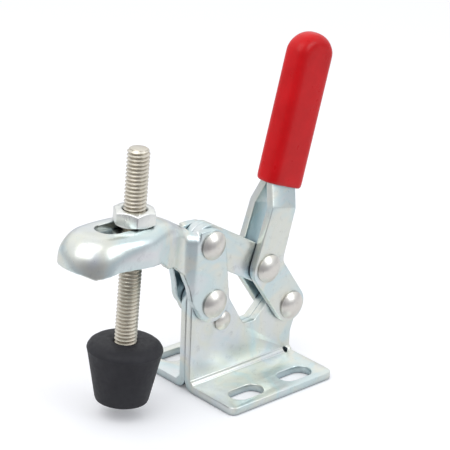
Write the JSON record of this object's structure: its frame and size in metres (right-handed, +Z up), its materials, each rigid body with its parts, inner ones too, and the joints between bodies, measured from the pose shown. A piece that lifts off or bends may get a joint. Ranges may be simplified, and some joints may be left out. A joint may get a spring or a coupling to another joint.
{
  "type": "toggle clamp",
  "caption": "Small vertical-handle toggle clamp with a rubber-tipped spindle, a flanged base and a vinyl hand grip.",
  "frame": {"origin": "centre of the four mounting slots, on the underside of the base", "axes": "+Z up, square to the base; -X towards the nose that carries the spindle, +X towards the handle; +Y to the right when facing the nose"},
  "size_m": [0.0862, 0.0388, 0.0917],
  "materials": {
    "zinc_sheet": "bright zinc plate",
    "nickel": "polished, slightly warm",
    "red_vinyl": "glossy",
    "black_rubber": "satin"
  },
  "bodies": {
    "base": {"base_plate_left": "zinc_sheet", "base_plate_right": "zinc_sheet", "base_rivet": "nickel"},
    "handle": {"handle_plate_left": "zinc_sheet", "handle_plate_right": "zinc_sheet", "grip": "red_vinyl", "rivet_link_handle": "nickel", "rivet_handle_base": "nickel"},
    "arm": {"arm": "zinc_sheet", "rivet_arm_link": "nickel", "rivet_arm_base": "nickel"},
    "link": {"link_plate_left": "zinc_sheet", "link_plate_right": "zinc_sheet"},
    "nuts": {"nut_upper": "nickel", "nut_lower": "nickel"},
    "spindle": {"spindle": "nickel", "rubber_foot": "black_rubber"}
  },
  "joints": [
    {"name": "handle_swing", "type": "hinge", "parent": "base", "child": "handle", "pos_m": [0.0155, 0, 0.0171], "axis": [0, 1, 0], "range_deg": [-5.5, 60]},
    {"name": "arm_swing", "type": "hinge", "parent": "base", "child": "arm", "pos_m": [-0.0125, 0, 0.0252], "axis": [0, 1, 0], "range_deg": [-5, 48]},
    {"name": "link_swing", "type": "hinge", "parent": "arm", "child": "link", "pos_m": [-0.0135, 0, 0.0419], "axis": [0, 1, 0], "range_deg": [-66, 7]},
    {"name": "nut_slide", "type": "slide", "parent": "arm", "child": "nuts", "axis": [-0.998, 0, 0.0628], "range_m": [-0.0003, 0.0082]},
    {"name": "spindle_height", "type": "slide", "parent": "nuts", "child": "spindle", "axis": [0.0628, 0, 0.998], "range_m": [-0.0015, 0.012]}
  ],
  "couplings": [
    {"joint": "arm_swing", "follows": "handle_swing", "ratio": 0.788},
    {"joint": "link_swing", "follows": "handle_swing", "ratio": -1.079}
  ]
}
